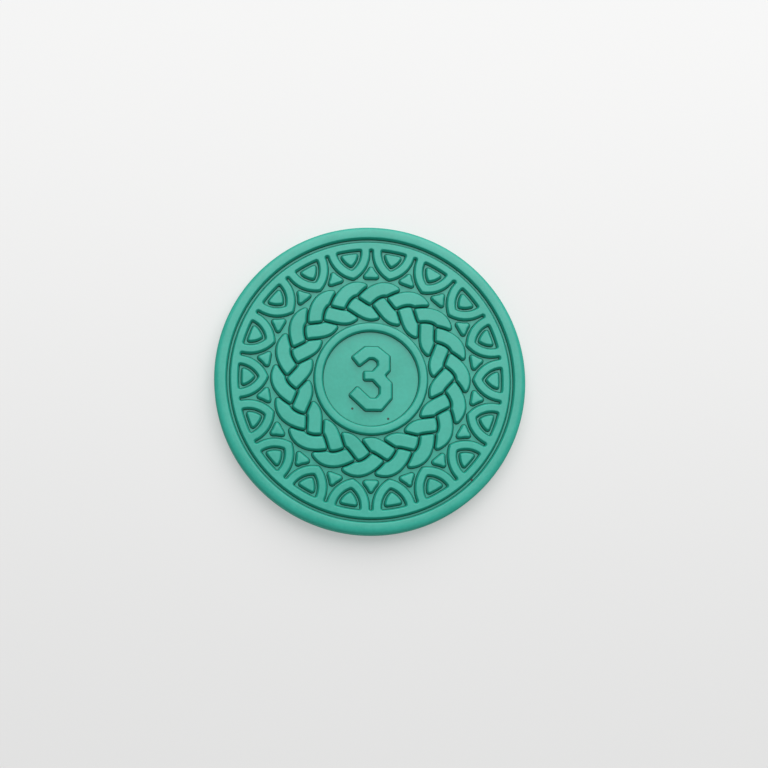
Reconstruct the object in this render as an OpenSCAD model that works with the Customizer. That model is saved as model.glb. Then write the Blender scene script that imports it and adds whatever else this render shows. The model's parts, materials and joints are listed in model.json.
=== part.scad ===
// Double-sided game coin: a flat metal blank in a raised rim, with the same raised
// ornament and value numeral on its face and on its back.
// The origin is the centre of the plane that the coin lies on, and +Z points out of its face.

/* [Coin] */
// Outside diameter of the coin
coin_d = 38; // [36:0.5:44]
// Thickness from rim to rim
coin_t = 2.5; // [2:0.1:3.5]

/* [Rim] */
// Width of the rim, from its bore to the coin's edge
rim_w = 1.2; // [1:0.05:1.8]
// Rounding of the rim's two outer edges
rim_round = 0.3; // [0.1:0.05:0.6]
// Rounding of the rim's two inner edges
rim_inner_round = 0.15; // [0.05:0.05:0.3]
// Depth of the sunken field below the top of the rim
field_depth = 0.6; // [0.4:0.05:0.8]
// How far the rim stands above the ornament, so that stacked coins touch on their rims
rim_proud = 0.05; // [0.02:0.01:0.15]

/* [Petal border] */
// Width of the groove between the rim and the border
groove_w = 0.8; // [0.4:0.05:1]
// Width of the ring that the petals hang from
border_ring_w = 0.8; // [0.5:0.05:1.2]
// Number of petals round the border
petal_count = 18; // [16:1:20]
// Length of a petal, from the border ring to its tip
petal_l = 3.6; // [3.2:0.05:3.8]
// Width of a petal where it leaves the border ring
petal_w = 5; // [4.4:0.05:5.2]
// Width of the band that outlines a petal
petal_band = 0.85; // [0.6:0.05:0.95]
// Clear field beside the band, towards the petal's heart and towards the darts
petal_channel = 0.6; // [0.4:0.05:0.65]

/* [Plait] */
// Clear field between the plait and the ornament on each side of it
plait_gap = 0.55; // [0.4:0.05:0.8]
// Width of a strand
strand_w = 1.5; // [1:0.05:1.6]
// How far a strand swings to each side of the plait's middle circle
plait_swing = 1.6; // [1.4:0.025:1.7]
// Number of swings that a strand makes on its way round
swing_count = 6; // [5:1:7]
// Clear field beside a strand where another one passes under it
crossing_gap = 0.45; // [0.3:0.05:0.55]

/* [Medallion] */
// Width of the ring round the numeral's field
medallion_ring_w = 0.8; // [0.5:0.05:1.2]

/* [Numeral] */
// Height of the numeral's middle line
numeral_h = 6.4; // [5:0.1:7]
// Width of the numeral's middle line
numeral_w = 3.9; // [3:0.1:4.2]
// Width of the numeral's stroke
numeral_stroke = 1.3; // [0.9:0.05:1.4]
// Length of the waist's point, from the corner between the bowls
waist_l = 1.5; // [1.1:0.05:1.7]

/* [Hidden] */
$fn = 192;
coat = [0.33, 0.71, 0.62];
coat_field = [0.29, 0.64, 0.55];

// Radii of the zones, from the edge inwards
coin_r = coin_d / 2;
rim_bore_r = coin_r - rim_w;
border_r = rim_bore_r - groove_w;
petal_base_r = border_r - border_ring_w;
petal_tip_r = petal_base_r - petal_l;

// A petal lies between two arcs that meet at its tip, each with its centre across the petal
petal_step = 360 / petal_count;
petal_arc_r = (petal_l * petal_l / petal_w) + petal_w / 4;
petal_arc_offset = petal_arc_r - petal_w / 2;

strands = 3;
plait_w = 2 * plait_swing + strand_w;
plait_mid_r = petal_tip_r - plait_gap - plait_w / 2;
medallion_ring_r = plait_mid_r - plait_w / 2 - plait_gap;
medallion_r = medallion_ring_r - medallion_ring_w;

// Middle line of the numeral's stroke, and the corner between its bowls
numeral_line = [
    [-0.47 * numeral_w, 0.33 * numeral_h],
    [-0.12 * numeral_w, 0.5 * numeral_h],
    [0.15 * numeral_w, 0.5 * numeral_h],
    [0.4 * numeral_w, 0.38 * numeral_h],
    [0.4 * numeral_w, 0.2 * numeral_h],
    [0.18 * numeral_w, 0.05 * numeral_h],
    [0.46 * numeral_w, -0.13 * numeral_h],
    [0.46 * numeral_w, -0.34 * numeral_h],
    [0.24 * numeral_w, -0.5 * numeral_h],
    [-0.1 * numeral_w, -0.5 * numeral_h],
    [-0.54 * numeral_w, -0.25 * numeral_h]
];
waist_corner = numeral_line[5];

// Heights
ornament_h = field_depth - rim_proud;
blank_t = coin_t - 2 * field_depth;

function polar(r, a) = [r * cos(a), r * sin(a)];

// Radius of a strand's middle line, and the change of that radius per radian
function swing_angle(i, a) = swing_count * a + i * 360 / strands;
function strand_r(i, a) = plait_mid_r + plait_swing * cos(swing_angle(i, a));
function strand_slope(i, a) = -plait_swing * swing_count * sin(swing_angle(i, a));

// A point square to a strand's middle line, at a distance that is positive outwards
function beside_strand(i, a, side) =
    let (r = strand_r(i, a), slope = strand_slope(i, a))
    polar(r, a) + side * (polar(r, a) - slope * polar(1, a + 90)) / sqrt(r * r + slope * slope);

// Ornament is drawn standing on z = 0, and these two modules stand it on the fields of the blank
module on_face() {
    translate([0, 0, coin_t - field_depth]) children();
}

module on_back() {
    translate([0, 0, field_depth]) rotate([0, 180, 0]) children();
}

// What a rounding takes off a corner, with the rounding's centre at the origin
module corner_waste(r) {
    difference() {
        square(2 * r);
        circle(r);
    }
}

module ring_2d(outer_r, inner_r) {
    difference() {
        circle(outer_r);
        circle(inner_r);
    }
}

// Direction of a line's stretch, and the step to its left that keeps a stroke's width round a corner
function along(line, i) = (line[i + 1] - line[i]) / norm(line[i + 1] - line[i]);
function aside(v) = [-v[1], v[0]];
function corner_step(line, i) =
    let (
        before = aside(along(line, max(i - 1, 0))),
        after = aside(along(line, min(i, len(line) - 2)))
    )
    (before + after) / (1 + before * after);

// A stroke with straight stretches and sharp corners
module stroke_2d(line, w) {
    last = len(line) - 1;
    polygon(concat(
        [for (i = [0 : last]) line[i] + corner_step(line, i) * w / 2],
        [for (i = [0 : last]) line[last - i] - corner_step(line, last - i) * w / 2]
    ));
}

// The flat disc inside the rim, whose two sides are the fields
module blank() {
    color(coat_field)
        translate([0, 0, field_depth])
            cylinder(h = blank_t, r = rim_bore_r);
}

// The raised rim, which is also the coin's edge
module rim() {
    color(coat)
        rotate_extrude()
            difference() {
                translate([rim_bore_r, 0]) square([rim_w, coin_t]);
                for (up = [0, 1])
                    translate([0, up * coin_t]) mirror([0, 1 - up]) {
                        translate([coin_r - rim_round, -rim_round])
                            corner_waste(rim_round);
                        translate([rim_bore_r + rim_inner_round, -rim_inner_round])
                            mirror([1, 0]) corner_waste(rim_inner_round);
                    }
            }
}

// A pointed petal with its tip towards the coin's centre, drawn in from its outline on both sides.
// It runs on into a second point outside the ring that it hangs from, which its users cut off.
module petal_2d(inset) {
    intersection() {
        translate([petal_base_r, petal_arc_offset]) circle(petal_arc_r - inset);
        translate([petal_base_r, -petal_arc_offset]) circle(petal_arc_r - inset);
    }
}

// The outlines of the petals and the ring that they hang from
module petal_border() {
    root_r = petal_base_r + border_ring_w / 2;
    color(coat) {
        linear_extrude(ornament_h) ring_2d(border_r, petal_base_r);
        for (i = [0 : petal_count - 1])
            rotate(i * petal_step)
                linear_extrude(ornament_h)
                    intersection() {
                        difference() {
                            petal_2d(0);
                            petal_2d(petal_band);
                        }
                        circle(root_r);
                    }
    }
}

// The raised hearts of the petals
module petal_hearts() {
    heart_base_r = petal_base_r - petal_channel;
    color(coat)
        for (i = [0 : petal_count - 1])
            rotate(i * petal_step)
                linear_extrude(ornament_h)
                    intersection() {
                        petal_2d(petal_band + petal_channel);
                        circle(heart_base_r);
                    }
}

// What is left between two petals: a dart with hollow sides, on the circle of the petals' tips
module dart_2d() {
    reach = 2 * coin_r;
    difference() {
        intersection() {
            ring_2d(petal_base_r, petal_tip_r);
            polygon([[0, 0], polar(reach, -petal_step / 2), polar(reach, petal_step / 2)]);
        }
        for (side = [-1, 1])
            rotate(side * petal_step / 2) petal_2d(-petal_channel);
    }
}

// The darts between the petals
module darts() {
    color(coat)
        for (i = [0 : petal_count - 1])
            rotate((i + 0.5) * petal_step)
                linear_extrude(ornament_h) dart_2d();
}

// The whole round of a strand at a given width, without its crossings
module strand_2d(i, w) {
    step = 1.5;
    angles = [0 : step : 360 - step];
    difference() {
        polygon([for (a = angles) beside_strand(i, a, w / 2)]);
        polygon([for (a = angles) beside_strand(i, a, -w / 2)]);
    }
}

// A strand of the plait, which passes under the next strand and over the one before
module strand(i) {
    color(coat)
        linear_extrude(ornament_h)
            difference() {
                strand_2d(i, strand_w);
                strand_2d((i + 1) % strands, strand_w + 2 * crossing_gap);
            }
}

// The ring round the numeral's field
module medallion_ring() {
    color(coat)
        linear_extrude(ornament_h)
            ring_2d(medallion_ring_r, medallion_r);
}

// The value, a three of straight strokes with a short point at its waist
module numeral() {
    waist_h = 0.7 * numeral_stroke;
    color(coat) {
        linear_extrude(ornament_h) stroke_2d(numeral_line, numeral_stroke);
        translate(waist_corner)
            linear_extrude(ornament_h)
                translate([-waist_l, -waist_h / 2]) square([waist_l, waist_h]);
    }
}

blank();
rim();
on_face() petal_border();  // face_petal_border
on_face() petal_hearts();  // face_petal_hearts
on_face() darts();  // face_darts
on_face() strand(0);  // face_strand_a
on_face() strand(1);  // face_strand_b
on_face() strand(2);  // face_strand_c
on_face() medallion_ring();  // face_medallion_ring
on_face() numeral();  // face_numeral
on_back() petal_border();  // back_petal_border
on_back() petal_hearts();  // back_petal_hearts
on_back() darts();  // back_darts
on_back() strand(0);  // back_strand_a
on_back() strand(1);  // back_strand_b
on_back() strand(2);  // back_strand_c
on_back() medallion_ring();  // back_medallion_ring
on_back() numeral();  // back_numeral
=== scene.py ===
"""Dresses a double-sided game coin of cast metal under satin teal paint, lying face up on a pale floor.

The rim and the ring round the numeral are turned from their sections. The rest of the raised ornament
gets the drafted walls and soft shoulders that casting and paint give it, and the back is a copy of the
face, turned over. Sizes are in metres.
"""

import json
import math

import bmesh
import bpy
from bpy.props import FloatProperty, FloatVectorProperty, IntProperty, PointerProperty
from mathutils import Matrix, Vector

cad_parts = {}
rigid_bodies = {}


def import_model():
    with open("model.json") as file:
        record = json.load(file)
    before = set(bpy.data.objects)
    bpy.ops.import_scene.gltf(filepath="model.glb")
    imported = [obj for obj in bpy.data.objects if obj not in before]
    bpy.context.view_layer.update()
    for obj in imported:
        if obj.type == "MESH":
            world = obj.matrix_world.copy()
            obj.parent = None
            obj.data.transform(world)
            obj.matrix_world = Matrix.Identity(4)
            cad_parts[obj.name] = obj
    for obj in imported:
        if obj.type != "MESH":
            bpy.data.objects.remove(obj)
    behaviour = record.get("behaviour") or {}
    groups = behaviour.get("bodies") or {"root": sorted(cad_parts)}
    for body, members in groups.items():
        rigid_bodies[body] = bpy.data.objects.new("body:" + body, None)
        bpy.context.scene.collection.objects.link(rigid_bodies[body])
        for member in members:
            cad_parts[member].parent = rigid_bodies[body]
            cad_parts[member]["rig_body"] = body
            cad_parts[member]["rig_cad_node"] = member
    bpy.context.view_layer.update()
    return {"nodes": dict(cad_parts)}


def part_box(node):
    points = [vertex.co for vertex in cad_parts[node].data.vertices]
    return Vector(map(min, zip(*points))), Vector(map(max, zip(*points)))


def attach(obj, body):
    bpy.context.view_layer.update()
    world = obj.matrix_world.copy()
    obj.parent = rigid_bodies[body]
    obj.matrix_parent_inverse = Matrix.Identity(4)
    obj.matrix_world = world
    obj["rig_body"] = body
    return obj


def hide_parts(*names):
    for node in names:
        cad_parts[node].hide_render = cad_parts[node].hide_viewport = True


bl_info = {
    "name": "Painted game coin",
    "version": (1, 0, 0),
    "blender": (4, 5, 0),
    "location": "View3D > Sidebar > Coin",
    "description": "Models and paints a double-sided metal game coin",
    "category": "Object",
}

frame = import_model()
MM = 0.001

BODY = "root"
RIM_LOW, RIM_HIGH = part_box("rim")
BLANK_LOW, BLANK_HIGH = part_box("blank")
RING_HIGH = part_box("face_medallion_ring")[1]
COIN_TOP = RIM_HIGH.z
FIELD = BLANK_HIGH.z
RELIEF_TOP = RING_HIGH.z

# How often the ornament repeats round the coin.
PETALS = 18
SWINGS = 6
STRANDS = 3

# Points closer than MERGE become one. Where copies meet, open edges are sewn over each reach in SEAMS.
# NEAR is the tolerance for finding a level, and the foot of a wall stands SINK below the field.
MERGE = 1e-6
SEAMS = (0.015 * MM, 0.06 * MM)
NEAR = 2e-5
SINK = 1e-5

# Two faces become one up to FLAT_TURN between them, an upright edge is a corner over CORNER_TURN, and
# shading runs on smoothly up to SMOOTH_TURN.
FLAT_TURN = math.radians(0.5)
CORNER_TURN = math.radians(22)
SMOOTH_TURN = math.radians(50)


class CoinSizes(bpy.types.PropertyGroup):
    """Sizes of the turned rings and of the ornament's walls, corners and shoulders."""

    rim_reach: FloatProperty(
        name="Rim reach", description="How far the rim's lip reaches in past the edge of the blank",
        default=0.16 * MM, unit="LENGTH",
    )
    rim_shoulder: FloatProperty(
        name="Rim shoulder", description="Rounding of the rim's outer edges",
        default=0.75 * MM, unit="LENGTH",
    )
    rim_lip: FloatProperty(
        name="Rim lip", description="Rounding of the rim's inner edges",
        default=0.1 * MM, unit="LENGTH",
    )
    ring_width: FloatProperty(
        name="Medallion ring width", description="Width of the ring round the numeral",
        default=0.8 * MM, unit="LENGTH",
    )
    draft: FloatProperty(
        name="Draft", description="How far the foot of a raised wall stands out from its top",
        default=0.17 * MM, unit="LENGTH",
    )
    pool: FloatProperty(
        name="Paint pool",
        description="Height and width of the paint that has run into the foot of a wall",
        default=0.06 * MM, unit="LENGTH",
    )
    shoulder: FloatProperty(
        name="Relief shoulder", description="Radius of the rounding along the ornament's top edges",
        default=0.14 * MM, unit="LENGTH",
    )
    ring_shoulder: FloatProperty(
        name="Ring shoulder", description="Length that the medallion ring's rounding takes of its sides",
        default=0.098 * MM, unit="LENGTH",
    )
    corner: FloatProperty(
        name="Relief corner",
        description="Tightest radius of the ornament's outer corners, seen from above",
        default=0.15 * MM, unit="LENGTH",
    )
    nook: FloatProperty(
        name="Relief nook",
        description="Tightest radius of the ornament's inner corners, seen from above",
        default=0.28 * MM, unit="LENGTH",
    )
    corner_room: FloatProperty(
        name="Corner room", description="Straight wall beside a corner, in lengths of its rounding",
        default=1.15,
    )
    round_steps: IntProperty(
        name="Rounding steps", description="Faces across a rounded edge", default=5,
    )
    turn_steps: IntProperty(
        name="Turning steps", description="Faces round a turned ring", default=240,
    )


class CoinColours(bpy.types.PropertyGroup):
    """Colours of the paint and the floor."""

    # Painted sheen: this paint holds a little white for the sheen of faces that look up or down, which the
    # walls lack.
    paint: FloatVectorProperty(
        name="Paint",
        description="Colour of the teal paint on the faces that it was sprayed on squarely",
        default=(0.010, 0.355, 0.262), subtype="COLOR",
    )
    thin_paint: FloatVectorProperty(
        name="Thin paint", description="Colour where the paint on those faces lies thinner",
        default=(0.026, 0.425, 0.325), subtype="COLOR",
    )
    # Painted shade: steep walls take this deeper paint, without the flat faces' sheen.
    shaded_wall_paint: FloatVectorProperty(
        name="Wall paint", description="Colour of the paint on steep walls",
        default=(0.003, 0.345, 0.250), subtype="COLOR",
    )
    # Painted shade: the field between the raised ornament is painted a deeper green with less white, as the
    # shade and weaker sheen in its recesses.
    shaded_recess_paint: FloatVectorProperty(
        name="Recess paint",
        description="Colour of the field between the raised ornament, where more paint lies",
        default=(0.005, 0.375, 0.278), subtype="COLOR",
    )
    # Painted shade: this dark colour along the foot of walls stands in for the shade that falls there.
    foot_shade_paint: FloatVectorProperty(
        name="Painted foot shade", description="Colour where the paint has run together, at the foot of walls",
        default=(0.0002, 0.040, 0.025), subtype="COLOR",
    )
    # Painted shade: the holes are not modelled, and this dark colour stands in for the shade inside them.
    pinhole: FloatVectorProperty(
        name="Pinhole", description="Colour of the tiny holes in the paint",
        default=(0.001, 0.030, 0.020), subtype="COLOR",
    )
    floor: FloatVectorProperty(
        name="Floor", description="Colour of the floor",
        default=(0.84, 0.84, 0.835), subtype="COLOR",
    )


class CoinCoat(bpy.types.PropertyGroup):
    """How the film of paint lies and shines, and where it has holes."""

    specular: FloatProperty(
        name="Specular", description="Specular level of the paint", default=0.6,
    )
    smoothest: FloatProperty(
        name="Smoothest", description="Roughness of the film where it shines most", default=0.33,
    )
    roughest: FloatProperty(
        name="Roughest", description="Roughness of the film where it shines least", default=0.40,
    )
    dry_spray: FloatProperty(
        name="Dry spray", description="What is added to the roughness on steep walls", default=0.4,
    )
    cloud: FloatProperty(
        name="Cloud", description="Width of the film's broad clouds", default=4.5 * MM, unit="LENGTH",
    )
    mottle: FloatProperty(
        name="Mottle", description="Width of the film's fine mottle", default=0.5 * MM, unit="LENGTH",
    )
    cloud_share: FloatProperty(
        name="Cloud share", description="Share of the clouds in the film's thickness, next to the mottle",
        default=0.6,
    )
    relief_grain: FloatProperty(
        name="Relief grain",
        description="Width of the grain in the paint's skin on the rim and the ornament",
        default=0.16 * MM, unit="LENGTH",
    )
    field_grain: FloatProperty(
        name="Field grain", description="Width of the grain in the paint's skin on the fields",
        default=0.12 * MM, unit="LENGTH",
    )
    fade: FloatProperty(
        name="Fade", description="Width over which one paint fades into another across the coin",
        default=0.2 * MM, unit="LENGTH",
    )
    skin_strength: FloatProperty(
        name="Skin strength", description="Strength of the skin's bump", default=0.3,
    )
    skin_depth: FloatProperty(
        name="Skin depth", description="Depth of the skin's bump", default=0.008 * MM, unit="LENGTH",
    )
    relief_holes: FloatProperty(
        name="Relief pinholes",
        description="Share of the places with a pinhole on the rim and the ornament",
        default=0.03,
    )
    field_holes: FloatProperty(
        name="Field pinholes", description="Share of the places with a pinhole on the fields",
        default=0.15,
    )
    hole_shift: FloatVectorProperty(
        name="Pinhole shift",
        description="Shift of the pinholes, by which two of them lie below the numeral",
        default=(118 * MM, -11 * MM, 0), subtype="TRANSLATION",
    )


class CoinView(bpy.types.PropertyGroup):
    """Where the camera stands, what it looks at and how far the floor reaches."""

    distance: FloatProperty(
        name="Distance", description="From the camera to the point it looks at",
        default=0.2, unit="LENGTH",
    )
    tilt: FloatProperty(
        name="Tilt", description="Angle of the view from straight down",
        default=math.radians(11.5), subtype="ANGLE",
    )
    bearing: FloatProperty(
        name="Bearing", description="Direction of the camera from the coin, turned from -Y towards -X",
        default=math.radians(26), subtype="ANGLE",
    )
    field_width: FloatProperty(
        name="Field width", description="Width of the view at the point that the camera looks at",
        default=0.09385, unit="LENGTH",
    )
    aim_x: FloatProperty(
        name="Aim right", description="How far the camera looks to the right of the coin's centre",
        default=1.66 * MM, unit="LENGTH",
    )
    aim_y: FloatProperty(
        name="Aim up", description="How far the camera looks above the coin's centre",
        default=-0.49 * MM, unit="LENGTH",
    )
    nearest: FloatProperty(
        name="Nearest", description="Distance from which on the camera sees things",
        default=0.01, unit="LENGTH",
    )
    floor_width: FloatProperty(
        name="Floor width", description="Length of the floor's sides", default=3, unit="LENGTH",
    )


class CoinLight(bpy.types.PropertyGroup):
    """How the coin and the floor are lit."""

    room: FloatProperty(
        name="Room", description="Strength of the even white light from all sides", default=0.38,
    )
    window_size: FloatProperty(
        name="Window size", description="Length of the window's sides", default=0.62, unit="LENGTH",
    )
    window_power: FloatProperty(
        name="Window power", description="Power of the window's light, in watts", default=2.9,
    )
    window_place: FloatVectorProperty(
        name="Window place", description="Middle of the window, which faces the coin",
        default=(0.06, 0.31, 0.345), subtype="TRANSLATION",
    )
    glow_share: FloatProperty(
        name="Glow share",
        description="Share of the floor's light that shadows don't take, as on pale cloth",
        default=0.42,
    )
    glow_near: FloatProperty(
        name="Near glow", description="Strength of that light at the near side of the view", default=0.31,
    )
    glow_far: FloatProperty(
        name="Far glow", description="Strength of that light at the far side of the view", default=0.39,
    )


def sizes():
    return bpy.context.scene.coin_sizes


def colours():
    return bpy.context.scene.coin_colours


def coat():
    return bpy.context.scene.coin_coat


def view():
    return bpy.context.scene.coin_view


def lighting():
    return bpy.context.scene.coin_light


def select_only(piece):
    """Makes a piece the only selected object, and the active one."""
    bpy.ops.object.select_all(action="DESELECT")
    piece.select_set(True)
    bpy.context.view_layer.objects.active = piece


def edit(piece):
    """Opens a piece in edit mode with nothing selected."""
    select_only(piece)
    bpy.ops.object.mode_set(mode="EDIT")
    bpy.ops.mesh.select_mode(type="VERT")
    bpy.ops.mesh.select_all(action="DESELECT")


def done():
    bpy.ops.object.mode_set(mode="OBJECT")


def select_verts(piece, wanted):
    """Selects the vertices whose place meets wanted(co), and deselects the others."""
    bpy.ops.mesh.select_mode(type="VERT")
    mesh = bmesh.from_edit_mesh(piece.data)
    for vert in mesh.verts:
        vert.select_set(bool(wanted(vert.co)))
    mesh.select_flush_mode()
    bmesh.update_edit_mesh(piece.data)


def select_edges(piece, wanted):
    """Selects the edges that meet wanted(edge), and deselects the others."""
    bpy.ops.mesh.select_all(action="DESELECT")
    bpy.ops.mesh.select_mode(type="EDGE")
    mesh = bmesh.from_edit_mesh(piece.data)
    for edge in mesh.edges:
        if wanted(edge):
            edge.select_set(True)
    bmesh.update_edit_mesh(piece.data)


def select_faces(piece, wanted):
    """Selects the faces that meet wanted(face), and deselects the others."""
    bpy.ops.mesh.select_all(action="DESELECT")
    bpy.ops.mesh.select_mode(type="FACE")
    mesh = bmesh.from_edit_mesh(piece.data)
    for face in mesh.faces:
        if wanted(face):
            face.select_set(True)
    bmesh.update_edit_mesh(piece.data)


def select_linked_round(piece, *bearings):
    """Selects the separate solids that lie across the given directions from the coin's centre."""
    spread = math.radians(4)
    select_verts(
        piece,
        lambda co: any(abs(math.atan2(co.y, co.x) - bearing) < spread for bearing in bearings),
    )
    bpy.ops.mesh.select_linked()


def keep_selected():
    """Deletes what isn't selected."""
    bpy.ops.mesh.select_all(action="INVERT")
    bpy.ops.mesh.delete(type="VERT")


def smooth(piece):
    """Shades a piece smoothly over its rounded edges and flat over its broad faces."""
    select_only(piece)
    bpy.ops.object.shade_smooth_by_angle(angle=SMOOTH_TURN)
    weighted = piece.modifiers.new("Even shading", "WEIGHTED_NORMAL")
    weighted.keep_sharp = True
    bpy.ops.object.modifier_apply(modifier=weighted.name)


def paint(piece, material):
    piece.data.materials.clear()
    piece.data.materials.append(material)


def duplicate(source, name):
    """Copies a piece into an object and a mesh of its own."""
    select_only(source)
    bpy.ops.object.duplicate()
    piece = bpy.context.object
    piece.name = piece.data.name = name
    return piece


def stand_for(piece, node):
    """Puts a finished piece in the place of a CAD node."""
    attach(piece, BODY)
    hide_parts(node)


def add_section(name, inner_r, low, width, height):
    """Adds a ring's rectangular section, standing on the X axis, and opens it in edit mode."""
    bpy.ops.object.select_all(action="DESELECT")
    bpy.ops.mesh.primitive_plane_add(size=1, location=(inner_r + width / 2, 0, low + height / 2))
    ring = bpy.context.object
    ring.name = ring.data.name = name
    ring.rotation_euler = (math.pi / 2, 0, 0)
    ring.scale = (width, height, 1)
    bpy.ops.object.transform_apply(location=True, rotation=True, scale=True)
    edit(ring)
    return ring


def cut_level(height):
    """Cuts what is open in edit mode at a height."""
    bpy.ops.mesh.select_all(action="SELECT")
    bpy.ops.mesh.bisect(plane_co=(0, 0, height), plane_no=(0, 0, 1), threshold=MERGE)


def cut_across(bearing, **clear):
    """Cuts what is open in edit mode along the upright plane through the coin's axis at a bearing."""
    bpy.ops.mesh.select_all(action="SELECT")
    bpy.ops.mesh.bisect(
        plane_co=(0, 0, 0), plane_no=(-math.sin(bearing), math.cos(bearing), 0),
        threshold=MERGE, **clear,
    )


def round_section(ring, corners, length):
    """Rounds the corners of a section that meet corners(co), along a length of both their sides."""
    select_verts(ring, corners)
    bpy.ops.mesh.bevel(
        offset=length, segments=sizes().round_steps, profile=0.5, affect="VERTICES",
        clamp_overlap=False,
    )


def turn_section(ring):
    """Turns a section about the coin's axis into a closed ring."""
    bpy.ops.mesh.select_all(action="SELECT")
    bpy.ops.mesh.dissolve_faces()
    bpy.ops.mesh.delete(type="ONLY_FACE")
    bpy.ops.mesh.select_all(action="SELECT")
    bpy.ops.mesh.spin(
        steps=sizes().turn_steps, angle=2 * math.pi, center=(0, 0, 0), axis=(0, 0, 1),
    )
    bpy.ops.mesh.select_all(action="SELECT")
    bpy.ops.mesh.remove_doubles(threshold=MERGE)
    bpy.ops.mesh.normals_make_consistent(inside=False)
    done()
    smooth(ring)


def copy_node(node, name):
    """Copies a raised CAD node, joins its triangles into whole faces and opens it in edit mode."""
    piece = duplicate(frame["nodes"][node], name)
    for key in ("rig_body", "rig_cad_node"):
        del piece[key]
    edit(piece)
    bpy.ops.mesh.select_all(action="SELECT")
    bpy.ops.mesh.remove_doubles(threshold=MERGE)
    bpy.ops.mesh.dissolve_limited(angle_limit=FLAT_TURN)
    return piece


def is_upright(edge):
    return abs(edge.verts[0].co.z - edge.verts[1].co.z) > NEAR


def is_corner(edge):
    return is_upright(edge) and edge.is_manifold and edge.calc_face_angle() > CORNER_TURN


def is_on_top(element):
    return all(vert.co.z > RELIEF_TOP - NEAR for vert in element.verts)


def bevel_length(radius, turn):
    """Length of a corner's sides that a bevel takes, for an arc that is nowhere tighter than a radius."""
    half = (math.pi - turn) / 2
    tightest = max(math.tan(turn / 2), math.cos(half) / (math.sqrt(2) * math.sin(half) ** 2))
    return radius * tightest


def corner_length(edge):
    """Length of its sides that the rounding of a raised piece's corner takes."""
    radius = sizes().corner if edge.is_convex else sizes().nook
    return bevel_length(radius, edge.calc_face_angle())


def clear_beside_corners(piece):
    """Straightens a raised piece's walls beside its corners, to make room for their rounding."""
    edges = bmesh.from_edit_mesh(piece.data).edges
    room = sizes().corner_room
    corners = [
        (edge.verts[0].co.xy.copy(), room * corner_length(edge)) for edge in edges if is_corner(edge)
    ]

    def is_beside(edge):
        if not is_upright(edge) or not edge.is_manifold or is_corner(edge):
            return False
        return any((edge.verts[0].co.xy - place).length < reach for place, reach in corners)

    select_edges(piece, is_beside)
    bpy.ops.mesh.dissolve_edges(use_verts=True)


def round_corners(piece):
    """Rounds the upright edges at the corners of a raised piece, one by one."""
    clear_beside_corners(piece)
    widest_step = math.radians(15)
    corners = [
        (edge.verts[0].co.xy.copy(), corner_length(edge), edge.calc_face_angle())
        for edge in bmesh.from_edit_mesh(piece.data).edges if is_corner(edge)
    ]
    for place, length, turn in corners:
        select_edges(
            piece,
            lambda edge: is_corner(edge) and (edge.verts[0].co.xy - place).length < MERGE,
        )
        bpy.ops.mesh.bevel(
            offset=length, segments=math.ceil(turn / widest_step), profile=0.5, affect="EDGES",
            clamp_overlap=False,
        )


def push_out(distance):
    """Pushes the selected foot of a raised piece's walls outwards."""
    bpy.ops.transform.shrink_fatten(value=distance, use_even_offset=True)


def level_foot():
    """Levels the selected foot of a raised piece's walls, a hair below the field."""
    bpy.ops.transform.resize(value=(1, 1, 0), center_override=(0, 0, FIELD - SINK))


def spread_foot(piece):
    """Slopes a raised piece's walls out towards the field, and fills their foot with pooled paint."""
    pool_top = FIELD + sizes().pool
    cut_level(pool_top)
    select_verts(piece, lambda co: co.z < pool_top + NEAR)
    push_out(sizes().draft)
    select_verts(piece, lambda co: co.z < FIELD + NEAR)
    level_foot()
    push_out(sizes().pool)
    level_foot()


def round_top(piece):
    """Lowers a raised piece's top, and insets it back up to its height along a round shoulder."""
    radius, steps = sizes().shoulder, sizes().round_steps
    slope = math.atan2(RELIEF_TOP - FIELD - sizes().pool, sizes().draft)
    turns = [slope * (1 - step / steps) for step in range(steps + 1)]
    select_faces(piece, is_on_top)
    bpy.ops.transform.translate(value=(0, 0, -radius * (1 - math.cos(slope))))
    for turn, next_turn in zip(turns, turns[1:]):
        bpy.ops.mesh.inset(
            thickness=radius * (math.sin(turn) - math.sin(next_turn)),
            depth=radius * (math.cos(next_turn) - math.cos(turn)),
            use_boundary=False, use_even_offset=True,
        )


def shape_relief(piece):
    """Gives a raised piece that is open in edit mode its corners, its drafted walls and its shoulders."""
    round_corners(piece)
    spread_foot(piece)
    round_top(piece)
    done()


def repeat_round(piece, count):
    """Repeats a piece evenly round the coin, in its own mesh, and closes the seams."""
    edit(piece)
    bpy.ops.mesh.select_all(action="SELECT")
    bpy.ops.mesh.spin(
        steps=count - 1, angle=2 * math.pi * (count - 1) / count, dupli=True,
        center=(0, 0, 0), axis=(0, 0, 1),
    )
    bpy.ops.mesh.select_mode(type="VERT")
    for reach in SEAMS:
        bpy.ops.mesh.select_all(action="DESELECT")
        bpy.ops.mesh.select_non_manifold()
        bpy.ops.mesh.remove_doubles(threshold=reach)
    bpy.ops.mesh.select_all(action="SELECT")
    bpy.ops.mesh.normals_make_consistent(inside=False)
    done()


def finish_relief(piece, part):
    """Shades and paints a raised piece of the face, and puts it in its node's place."""
    smooth(piece)
    paint(piece, paint_material("Relief paint"))
    stand_for(piece, f"face_{part}")


def turned_copy(source, name, place):
    """Copies a piece to a new place."""
    piece = duplicate(source, name)
    piece.matrix_world = place
    bpy.ops.object.transform_apply(location=True, rotation=True, scale=True)
    return piece


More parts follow.
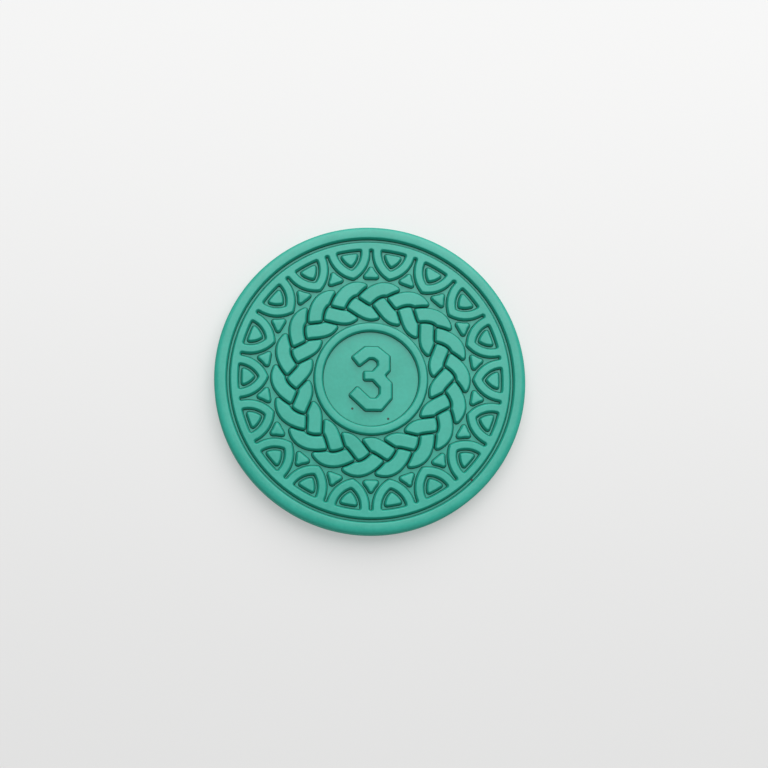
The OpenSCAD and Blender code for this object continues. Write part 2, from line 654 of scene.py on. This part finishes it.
class COIN_OT_rim(bpy.types.Operator):
    """Turns the rim, with its round shoulders, its lips and the pooled paint at its foot"""

    bl_idname = "coin.rim"
    bl_label = "Rim"

    def execute(self, context):
        reach, draft, pool = sizes().rim_reach, sizes().draft, sizes().pool
        outer_r = RIM_HIGH.x
        inner_r = BLANK_HIGH.x - reach
        rim = add_section("rim_turned", inner_r, RIM_LOW.z, outer_r - inner_r, COIN_TOP - RIM_LOW.z)
        # Levels on the inner wall, and how far it stands in past the lip at each: back at the blank's edge
        # inside the blank, then at the foot of the pooled paint and at its top.
        steps = [
            (field + out * rise, step)
            for field, out in ((BLANK_LOW.z, -1), (FIELD, 1))
            for rise, step in ((-2 * SINK, -reach), (-SINK, draft + pool), (pool, draft))
        ]
        for level, _ in steps:
            cut_level(level)
        for level, step in steps:
            select_verts(rim, lambda co: co.x < inner_r + NEAR and abs(co.z - level) < SINK / 2)
            bpy.ops.transform.translate(value=(-step, 0, 0))
        ends = (RIM_LOW.z, COIN_TOP)
        for side_r, length in ((outer_r, sizes().rim_shoulder), (inner_r, sizes().rim_lip)):
            round_section(
                rim,
                lambda co: abs(co.x - side_r) < NEAR and any(abs(co.z - end) < NEAR for end in ends),
                length,
            )
        turn_section(rim)
        paint(rim, paint_material("Rim paint"))
        stand_for(rim, "rim")
        return {"FINISHED"}


class COIN_OT_fields(bpy.types.Operator):
    """Paints the sunken fields of the blank"""

    bl_idname = "coin.fields"
    bl_label = "Fields"

    def execute(self, context):
        paint(frame["nodes"]["blank"], paint_material("Field paint"))
        return {"FINISHED"}


class COIN_OT_petal_border(bpy.types.Operator):
    """Models one petal with its part of the border ring, its heart and its dart, and repeats them round"""

    bl_idname = "coin.petal_border"
    bl_label = "Petal border"

    def execute(self, context):
        half = math.pi / PETALS
        border = copy_node("face_petal_border", "face_petal_border_soft")
        cut_across(half, clear_outer=True)
        cut_across(-half, clear_inner=True)
        self.part_flats(border, half / 4)
        shape_relief(border)
        repeat_round(border, PETALS)
        finish_relief(border, "petal_border")
        for part, bearing in (("petal_hearts", 0), ("darts", half)):
            piece = copy_node(f"face_{part}", f"face_{part}_soft")
            select_linked_round(piece, bearing)
            keep_selected()
            shape_relief(piece)
            repeat_round(piece, PETALS)
            finish_relief(piece, part)
        return {"FINISHED"}

    def part_flats(self, border, bearing):
        """Parts the flat faces round a petal's window along one line, clear of the window's corners."""
        cut_across(bearing)
        beside = Vector((-math.sin(bearing), math.cos(bearing), 0))
        for side in (1, -1):
            select_faces(
                border,
                lambda face: abs(face.normal.z) > 0.5 and side * beside.dot(face.calc_center_median()) > 0,
            )
            bpy.ops.mesh.dissolve_faces()


class COIN_OT_plait(bpy.types.Operator):
    """Models the two lengths of one strand's swing, repeats them, and turns copies for the other strands"""

    bl_idname = "coin.plait"
    bl_label = "Plait"

    def execute(self, context):
        strand = copy_node("face_strand_a", "face_strand_a_soft")
        select_linked_round(strand, 0, math.pi / SWINGS)
        keep_selected()
        shape_relief(strand)
        repeat_round(strand, SWINGS)
        finish_relief(strand, "strand_a")
        step = 2 * math.pi / (SWINGS * STRANDS)
        for number, letter in ((1, "b"), (2, "c")):
            place = Matrix.Rotation(-number * step, 4, "Z")
            copy = turned_copy(strand, f"face_strand_{letter}_soft", place)
            stand_for(copy, f"face_strand_{letter}")
        return {"FINISHED"}


class COIN_OT_medallion(bpy.types.Operator):
    """Turns the ring round the numeral, and models the numeral"""

    bl_idname = "coin.medallion"
    bl_label = "Medallion"

    def execute(self, context):
        width, draft, pool = sizes().ring_width, sizes().draft, sizes().pool
        inner_r = RING_HIGH.x - width
        foot = FIELD - SINK
        ring = add_section("face_medallion_ring_soft", inner_r, foot, width, RELIEF_TOP - foot)
        middle = (inner_r + width / 2, 0, foot)
        cut_level(FIELD + pool)
        for height, spread in ((FIELD + pool, draft), (foot, draft + pool)):
            select_verts(ring, lambda co: abs(co.z - height) < NEAR)
            bpy.ops.transform.resize(value=(1 + 2 * spread / width, 1, 1), center_override=middle)
        round_section(ring, lambda co: co.z > RELIEF_TOP - NEAR, sizes().ring_shoulder)
        turn_section(ring)
        paint(ring, paint_material("Relief paint"))
        stand_for(ring, "face_medallion_ring")
        numeral = copy_node("face_numeral", "face_numeral_soft")
        shape_relief(numeral)
        finish_relief(numeral, "numeral")
        return {"FINISHED"}


class COIN_OT_back(bpy.types.Operator):
    """Turns a copy of the face's ornament over to the back"""

    bl_idname = "coin.back"
    bl_label = "Back"

    def execute(self, context):
        turn_over = Matrix.Translation((0, 0, COIN_TOP)) @ Matrix.Rotation(math.pi, 4, "Y")
        for node in sorted(frame["nodes"]):
            if node.startswith("back_"):
                part = node.removeprefix("back_")
                face = bpy.data.objects[f"face_{part}_soft"]
                copy = turned_copy(face, f"{node}_soft", turn_over)
                stand_for(copy, node)
        return {"FINISHED"}


def new_group(name, inputs, outputs):
    """Makes a shader node group with its input and output sockets."""
    group = bpy.data.node_groups.new(name, "ShaderNodeTree")
    for socket, kind, default in inputs:
        made = group.interface.new_socket(socket, in_out="INPUT", socket_type=kind)
        made.default_value = default
    for socket, kind in outputs:
        group.interface.new_socket(socket, in_out="OUTPUT", socket_type=kind)
    return group, group.nodes.new("NodeGroupInput"), group.nodes.new("NodeGroupOutput")


def feed(tree, value, socket):
    """Gives an input its value, which is an output to link, a number or a colour."""
    if isinstance(value, bpy.types.NodeSocket):
        tree.links.new(value, socket)
    else:
        socket.default_value = value


def math_node(tree, operation, *values):
    """A Math node on outputs or numbers. Returns its output."""
    node = tree.nodes.new("ShaderNodeMath")
    node.operation = operation
    for value, socket in zip(values, node.inputs):
        feed(tree, value, socket)
    return node.outputs[0]


def ramp(tree, value, low, high, out_low=0.0, out_high=1.0):
    """A smooth step of a value from low to high. Returns its output."""
    node = tree.nodes.new("ShaderNodeMapRange")
    node.interpolation_type = "SMOOTHSTEP"
    for number, socket in zip((value, low, high, out_low, out_high), node.inputs):
        feed(tree, number, socket)
    return node.outputs[0]


def opaque(colour):
    """A colour with full alpha."""
    return (*colour, 1)


def mix_colour(tree, amount, first, second):
    """Mixes two colours, each an output or a colour. Returns the mixed colour."""
    node = tree.nodes.new("ShaderNodeMix")
    node.data_type = "RGBA"
    for value, socket in zip((amount, first, second), (node.inputs[0], node.inputs[6], node.inputs[7])):
        feed(tree, value, socket)
    return node.outputs[2]


def place_of(tree):
    """Place on the object. Returns its output."""
    return tree.nodes.new("ShaderNodeTexCoord").outputs["Object"]


def axes(tree, vector):
    """Splits a vector. Returns its outputs X, Y and Z."""
    node = tree.nodes.new("ShaderNodeSeparateXYZ")
    feed(tree, vector, node.inputs[0])
    return node.outputs


def noise(tree, scale, detail=2):
    """A noise with so many features to the metre. Returns its value."""
    node = tree.nodes.new("ShaderNodeTexNoise")
    node.inputs["Detail"].default_value = detail
    feed(tree, place_of(tree), node.inputs["Vector"])
    feed(tree, scale, node.inputs["Scale"])
    return node.outputs[0]


def axis_distance(tree):
    """Distance from the coin's axis. Returns its output."""
    place = axes(tree, place_of(tree))
    squares = [math_node(tree, "POWER", place[axis], 2.0) for axis in "XY"]
    return math_node(tree, "SQRT", math_node(tree, "ADD", *squares))


def build_film(name):
    """How thick the paint lies: broad clouds, a fine mottle and the grain of its skin."""
    group, inputs, outputs = new_group(
        name, [("Grain", "NodeSocketFloat", coat().relief_grain)],
        [("Thinness", "NodeSocketFloat"), ("Dullness", "NodeSocketFloat"), ("Skin", "NodeSocketFloat")],
    )
    clouds = ramp(group, noise(group, 1 / coat().cloud, detail=3), low=0.3, high=0.7)
    mottle = ramp(group, noise(group, 1 / coat().mottle), low=0.25, high=0.75)
    share = coat().cloud_share
    thinness = math_node(
        group, "ADD",
        math_node(group, "MULTIPLY", clouds, share), math_node(group, "MULTIPLY", mottle, 1 - share),
    )
    skin = noise(group, math_node(group, "DIVIDE", 1.0, inputs.outputs["Grain"]))
    for value, socket in ((thinness, "Thinness"), (mottle, "Dullness"), (skin, "Skin")):
        feed(group, value, outputs.inputs[socket])


def build_slope_light(name):
    """How flat a face lies: full on faces that look up or down, none on steep walls. The paint takes from
    it a painted sheen on flat faces and painted shade on walls.
    """
    group, _, outputs = new_group(name, [], [("Flatness", "NodeSocketFloat")])
    normal = axes(group, group.nodes.new("ShaderNodeTexCoord").outputs["Normal"])
    upright = math_node(group, "ABSOLUTE", normal["Z"])
    feed(group, ramp(group, upright, low=0.65, high=0.985), outputs.inputs["Flatness"])


def build_foot_shade(name):
    """Painted shade: a thin dark line along the foot of every wall on the fields, where shade falls."""
    group, inputs, outputs = new_group(
        name, [("Height", "NodeSocketFloat", 0.16 * MM)], [("Mask", "NodeSocketFloat")],
    )
    middle = COIN_TOP / 2
    edge = BLANK_HIGH.x + coat().fade
    from_middle = math_node(
        group, "ABSOLUTE", math_node(group, "SUBTRACT", axes(group, place_of(group))["Z"], middle),
    )
    above_field = math_node(group, "SUBTRACT", from_middle, FIELD - middle)
    at_foot = ramp(
        group, math_node(group, "DIVIDE", above_field, inputs.outputs["Height"]),
        low=0.3, high=1.3, out_low=1.0, out_high=0.0,
    )
    inside = ramp(group, axis_distance(group), edge, edge + coat().fade, out_low=1.0, out_high=0.0)
    feed(group, math_node(group, "MULTIPLY", at_foot, inside), outputs.inputs["Mask"])


def build_pinholes(name):
    """A few tiny holes in the paint, as a mask."""
    group, inputs, outputs = new_group(
        name,
        [("Spacing", "NodeSocketFloat", 5 * MM), ("Radius", "NodeSocketFloat", 0.15 * MM),
         ("Share", "NodeSocketFloat", coat().relief_holes)],
        [("Mask", "NodeSocketFloat")],
    )
    spacing = inputs.outputs["Spacing"]
    shift = group.nodes.new("ShaderNodeVectorMath")
    feed(group, place_of(group), shift.inputs[0])
    feed(group, coat().hole_shift, shift.inputs[1])
    cells = group.nodes.new("ShaderNodeTexVoronoi")
    cells.voronoi_dimensions = "2D"
    feed(group, shift.outputs[0], cells.inputs["Vector"])
    feed(group, math_node(group, "DIVIDE", 1.0, spacing), cells.inputs["Scale"])
    away = math_node(group, "MULTIPLY", cells.outputs["Distance"], spacing)
    hole = math_node(group, "LESS_THAN", away, inputs.outputs["Radius"])
    chance = group.nodes.new("ShaderNodeSeparateColor")
    feed(group, cells.outputs["Color"], chance.inputs[0])
    chosen = math_node(group, "LESS_THAN", chance.outputs[0], inputs.outputs["Share"])
    feed(group, math_node(group, "MULTIPLY", hole, chosen), outputs.inputs["Mask"])


def place_group(tree, name, build, **values):
    """Places a node group in a material with values of its own, and builds it the first time."""
    if name not in bpy.data.node_groups:
        build(name)
    node = tree.nodes.new("ShaderNodeGroup")
    node.node_tree = bpy.data.node_groups[name]
    for socket, value in values.items():
        node.inputs[socket].default_value = value
    return node


def new_material(name):
    """Makes a material. Returns it with its node tree and its shader."""
    material = bpy.data.materials.new(name)
    material.use_nodes = True
    return material, material.node_tree, material.node_tree.nodes["Principled BSDF"]


def paint_material(name):
    """The satin teal paint: mottled, with a fine skin and a few pinholes, and painted light: sheen on flat
    faces, shade on walls, in the recessed field, along the foot of walls and in the pinholes.
    """
    if name in bpy.data.materials:
        return bpy.data.materials[name]
    is_field = name == "Field paint"
    look = coat()
    material, tree, shader = new_material(name)
    shader.inputs["Specular IOR Level"].default_value = look.specular
    film = place_group(
        tree, "Paint film", build_film, Grain=look.field_grain if is_field else look.relief_grain,
    )
    holes = place_group(
        tree, "Pinholes", build_pinholes, Share=look.field_holes if is_field else look.relief_holes,
    )
    flatness = place_group(tree, "Slope sheen and shade", build_slope_light).outputs["Flatness"]
    colour = mix_colour(
        tree, film.outputs["Thinness"], opaque(colours().paint), opaque(colours().thin_paint),
    )
    if is_field:
        # Painted shade: outside the medallion, the field between the ornament takes the recess paint.
        medallion_r = RING_HIGH.x - sizes().ring_width
        shaded_recess = ramp(tree, axis_distance(tree), medallion_r - look.fade, medallion_r)
        colour = mix_colour(tree, shaded_recess, colour, opaque(colours().shaded_recess_paint))
    # Painted light: flat faces keep the paint with its painted sheen, and steep walls take the wall paint
    # as painted shade.
    colour = mix_colour(tree, flatness, opaque(colours().shaded_wall_paint), colour)
    if not is_field:
        # Painted shade along the foot of the walls on the rim and the ornament.
        pool = place_group(tree, "Painted foot shade", build_foot_shade)
        colour = mix_colour(tree, pool.outputs["Mask"], colour, opaque(colours().foot_shade_paint))
    # Painted shade of the pinholes.
    colour = mix_colour(tree, holes.outputs["Mask"], colour, opaque(colours().pinhole))
    feed(tree, colour, shader.inputs["Base Color"])
    roughness = ramp(tree, film.outputs["Dullness"], 0, 1, look.smoothest, look.roughest)
    dry = ramp(tree, flatness, 0, 1, look.dry_spray, 0)
    feed(tree, math_node(tree, "ADD", roughness, dry), shader.inputs["Roughness"])
    bump = tree.nodes.new("ShaderNodeBump")
    bump.inputs["Strength"].default_value = look.skin_strength
    bump.inputs["Distance"].default_value = look.skin_depth
    feed(tree, film.outputs["Skin"], bump.inputs["Height"])
    feed(tree, bump.outputs[0], shader.inputs["Normal"])
    return material


def floor_material():
    """A pale floor that glows a little, for the camera alone, so that the shadow on it stays soft."""
    material, tree, shader = new_material("Floor")
    shader.inputs["Roughness"].default_value = 0.9
    shader.inputs["Specular IOR Level"].default_value = 0.1
    shader.inputs["Emission Strength"].default_value = 1
    seen = tree.nodes.new("ShaderNodeLightPath").outputs["Is Camera Ray"]
    colour = Vector(colours().floor)
    dimmed = (1 - lighting().glow_share) * colour
    feed(tree, mix_colour(tree, seen, opaque(colour), opaque(dimmed)), shader.inputs["Base Color"])
    reach = view().field_width / 2
    # Painted light: the glow lifts the coin's shadow on the floor and grows from the near to the far side
    # of the view.
    glow = ramp(
        tree, axes(tree, place_of(tree))["Y"], -reach, reach, lighting().glow_near, lighting().glow_far,
    )
    feed(tree, math_node(tree, "MULTIPLY", seen, glow), shader.inputs["Emission Color"])
    return material


class COIN_OT_stage(bpy.types.Operator):
    """Lays the floor, lights it softly and places the camera"""

    bl_idname = "coin.stage"
    bl_label = "Stage"

    def execute(self, context):
        scene = context.scene
        scene.view_settings.view_transform = "Standard"
        self.lay_floor()
        self.light(scene)
        self.place_camera(scene)
        return {"FINISHED"}

    def lay_floor(self):
        bpy.ops.object.select_all(action="DESELECT")
        bpy.ops.mesh.primitive_plane_add(size=view().floor_width, location=(0, 0, 0))
        floor = bpy.context.object
        floor.name = "floor"
        floor.data.materials.append(floor_material())

    def light(self, scene):
        world = bpy.data.worlds.new("Room")
        world.use_nodes = True
        background = world.node_tree.nodes["Background"]
        background.inputs["Color"].default_value = (1, 1, 1, 1)
        background.inputs["Strength"].default_value = lighting().room
        scene.world = world
        lamp = bpy.data.lights.new("Window", "AREA")
        lamp.size = lighting().window_size
        lamp.energy = lighting().window_power
        window = bpy.data.objects.new("Window", lamp)
        scene.collection.objects.link(window)
        window.location = lighting().window_place
        window.rotation_euler = (-window.location).to_track_quat("-Z", "Y").to_euler()

    def place_camera(self, scene):
        aim = Vector((view().aim_x, view().aim_y, COIN_TOP / 2))
        aside = math.sin(view().tilt)
        towards = Vector((
            -aside * math.sin(view().bearing), -aside * math.cos(view().bearing), math.cos(view().tilt),
        ))
        right = Vector((0, 1, 0)).cross(towards).normalized()
        up = towards.cross(right)
        lens = bpy.data.cameras.new("Camera")
        lens.lens = lens.sensor_width * view().distance / view().field_width
        lens.clip_start = view().nearest
        camera = bpy.data.objects.new("Camera", lens)
        scene.collection.objects.link(camera)
        turn = Matrix((right, up, towards)).transposed().to_4x4()
        camera.matrix_world = Matrix.Translation(aim + view().distance * towards) @ turn
        scene.camera = camera


class COIN_PT_panel(bpy.types.Panel):
    """Lists the steps that make the coin"""

    bl_idname = "COIN_PT_panel"
    bl_label = "Coin"
    bl_space_type = "VIEW_3D"
    bl_region_type = "UI"
    bl_category = "Coin"

    def draw(self, context):
        for operator in STEPS:
            self.layout.operator(operator.bl_idname)


STEPS = (
    COIN_OT_rim, COIN_OT_fields, COIN_OT_petal_border, COIN_OT_plait, COIN_OT_medallion, COIN_OT_back,
    COIN_OT_stage,
)
CLASSES = (CoinSizes, CoinColours, CoinCoat, CoinView, CoinLight, *STEPS, COIN_PT_panel)


def register():
    for each in CLASSES:
        bpy.utils.register_class(each)
    bpy.types.Scene.coin_sizes = PointerProperty(type=CoinSizes)
    bpy.types.Scene.coin_colours = PointerProperty(type=CoinColours)
    bpy.types.Scene.coin_coat = PointerProperty(type=CoinCoat)
    bpy.types.Scene.coin_view = PointerProperty(type=CoinView)
    bpy.types.Scene.coin_light = PointerProperty(type=CoinLight)


def unregister():
    del bpy.types.Scene.coin_light
    del bpy.types.Scene.coin_view
    del bpy.types.Scene.coin_coat
    del bpy.types.Scene.coin_colours
    del bpy.types.Scene.coin_sizes
    for each in reversed(CLASSES):
        bpy.utils.unregister_class(each)


def main():
    register()
    bpy.ops.coin.rim()
    bpy.ops.coin.fields()
    bpy.ops.coin.petal_border()
    bpy.ops.coin.plait()
    bpy.ops.coin.medallion()
    bpy.ops.coin.back()
    bpy.ops.coin.stage()


if __name__ == "__main__":
    main()
